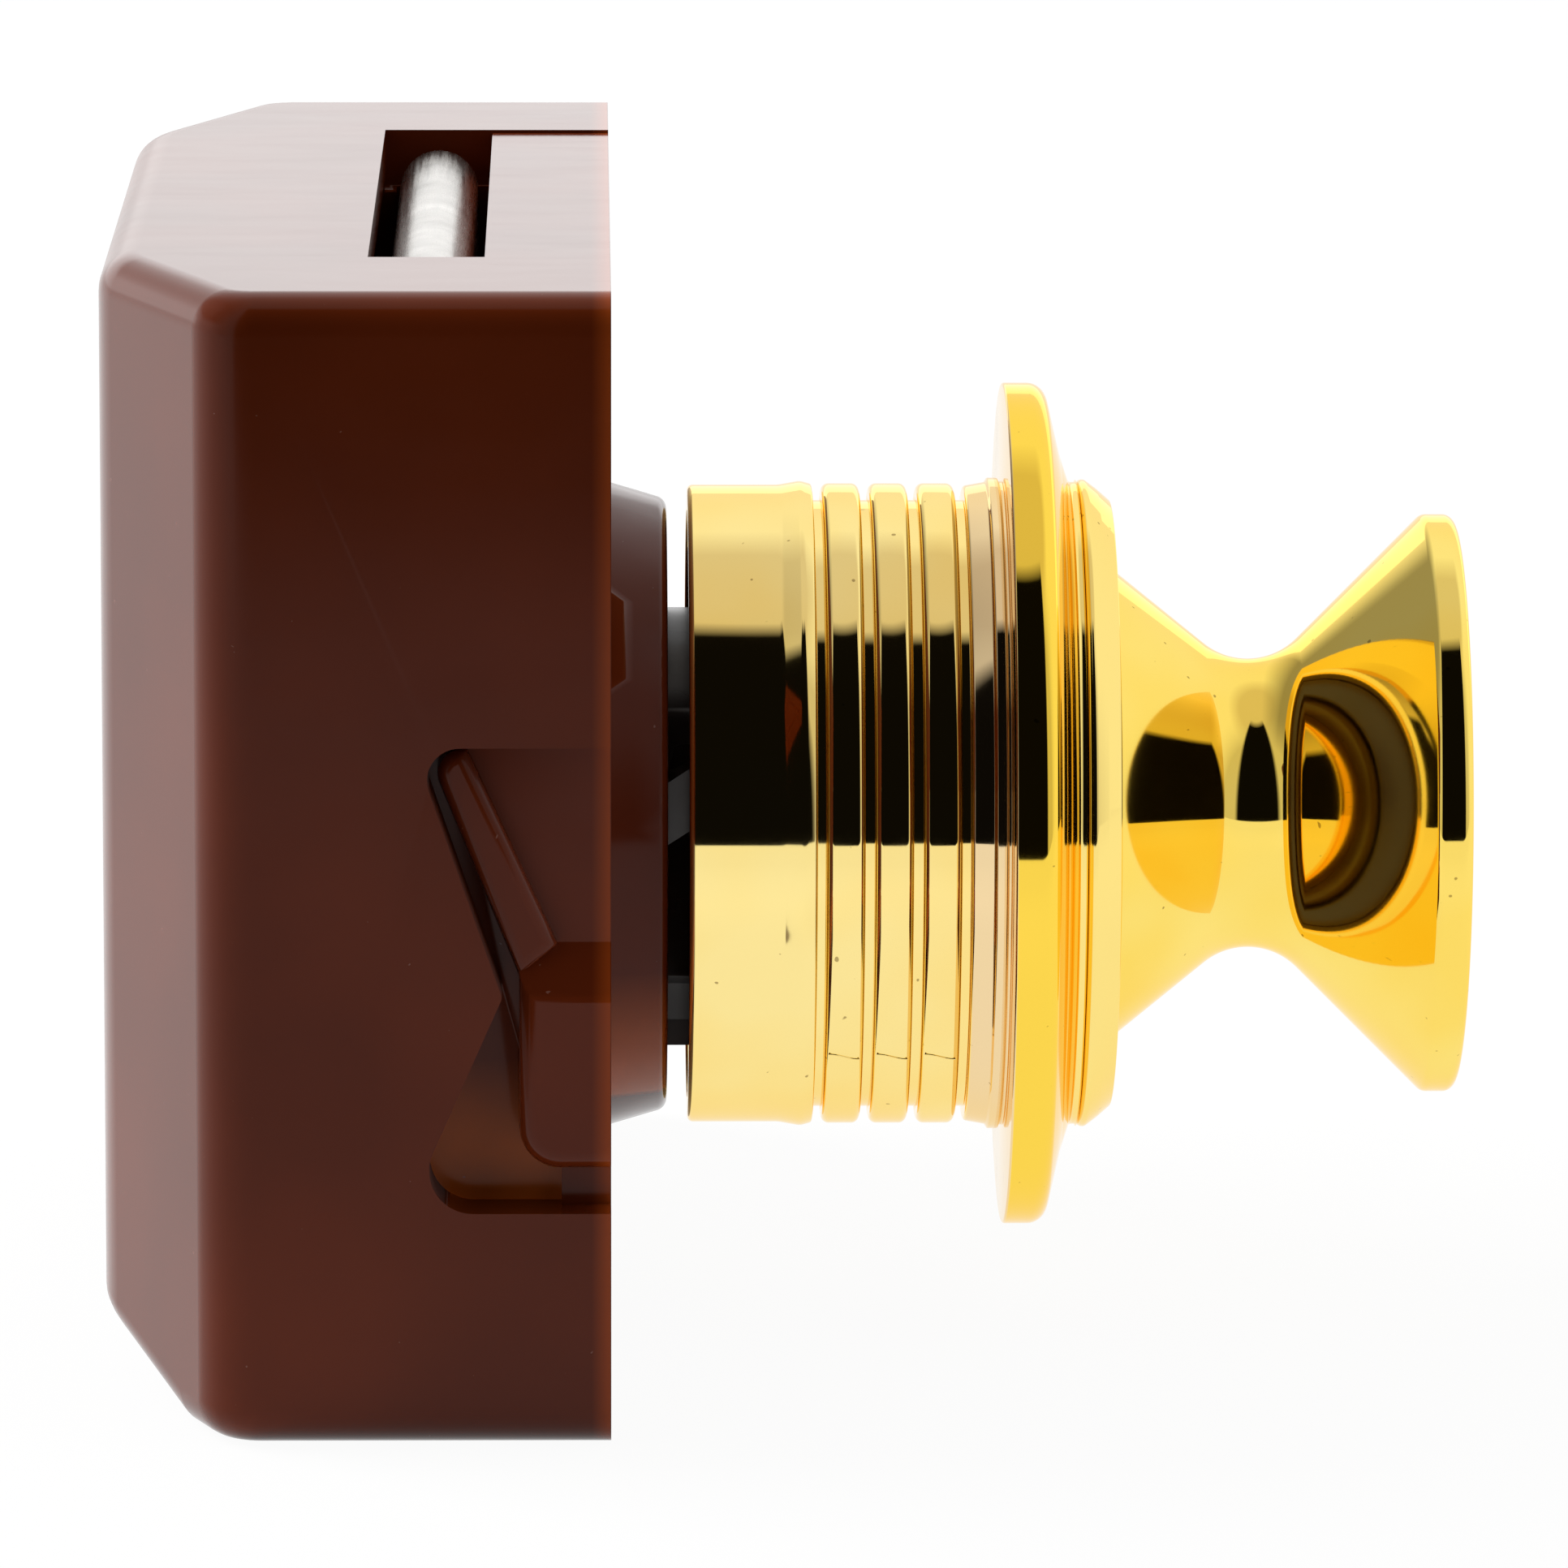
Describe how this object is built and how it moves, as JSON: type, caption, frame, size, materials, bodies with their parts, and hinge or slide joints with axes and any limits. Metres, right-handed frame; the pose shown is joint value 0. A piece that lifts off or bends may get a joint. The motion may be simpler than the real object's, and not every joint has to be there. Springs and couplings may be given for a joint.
{
  "type": "push button cabinet lock",
  "caption": "Surface cabinet lock with a boxy case, a rounded bolt that slides up, a ribbed door sleeve with flange and a spool-shaped push knob.",
  "frame": {"origin": "on the knob axis, in the plane where the case meets the back of the door", "axes": "+X along the knob axis out of the door towards the user, +Z the way the bolt comes out, Y along the case's length"},
  "size_m": [0.052, 0.06, 0.0424],
  "materials": {
    "brown_case": "glossy dark brown ABS moulding",
    "brown_cover": "glossy dark brown ABS moulding",
    "black_plunger": "glossy black acetal moulding",
    "dark_acetal": "dark grey acetal moulding",
    "black_liner": "black acetal bush",
    "gold_knob": "mirror gold plating on zinc die casting",
    "gold_sleeve": "mirror gold plating on a zinc casting",
    "bolt_steel": "zinc-plated steel, brushed",
    "zinc_steel": "zinc-plated steel",
    "spring_steel": "bright drawn spring steel"
  },
  "bodies": {
    "case": {"lock_case": "brown_case", "case_cover": "brown_cover", "follower_spring": "spring_steel", "spring_washer": "zinc_steel", "main_spring": "spring_steel"},
    "button": {"plunger": "black_plunger", "heart_cam": "dark_acetal", "spindle_clip": "spring_steel"},
    "bolt": {"latch_bolt": "bolt_steel"},
    "follower": {"cam_follower": "spring_steel"},
    "knob": {"knob_body": "gold_knob", "knob_cap": "gold_knob", "knob_screw": "zinc_steel", "spindle": "zinc_steel"},
    "rosette": {"escutcheon": "gold_sleeve", "escutcheon_liner": "black_liner"}
  },
  "joints": [
    {"name": "button_press", "type": "slide", "parent": "case", "child": "button", "axis": [-1, 0, 0], "range_m": [0, 0.01], "stiffness_N_per_m": 350, "springref_m": -0.012, "deforming": ["main_spring"]},
    {"name": "bolt_slide", "type": "slide", "parent": "case", "child": "bolt", "axis": [0, 0, 1], "range_m": [0, 0.0065]},
    {"name": "follower_swing", "type": "hinge", "parent": "case", "child": "follower", "pos_m": [-0.0153, 0, -0.0099], "axis": [0, 0, 1], "range_deg": [0, 5.09]},
    {"name": "knob_depth", "type": "slide", "parent": "button", "child": "knob", "axis": [1, 0, 0], "range_m": [0, 0.012]},
    {"name": "rosette_slide", "type": "slide", "parent": "knob", "child": "rosette", "axis": [1, 0, 0], "range_m": [0, 0.01]}
  ],
  "couplings": [
    {"joint": "bolt_slide", "follows": "button_press", "ratio": 0.65},
    {"joint": "follower_swing", "follows": "button_press", "rad_per_m": 8.8612},
    {"joint": "rosette_slide", "follows": "button_press", "ratio": 1}
  ]
}
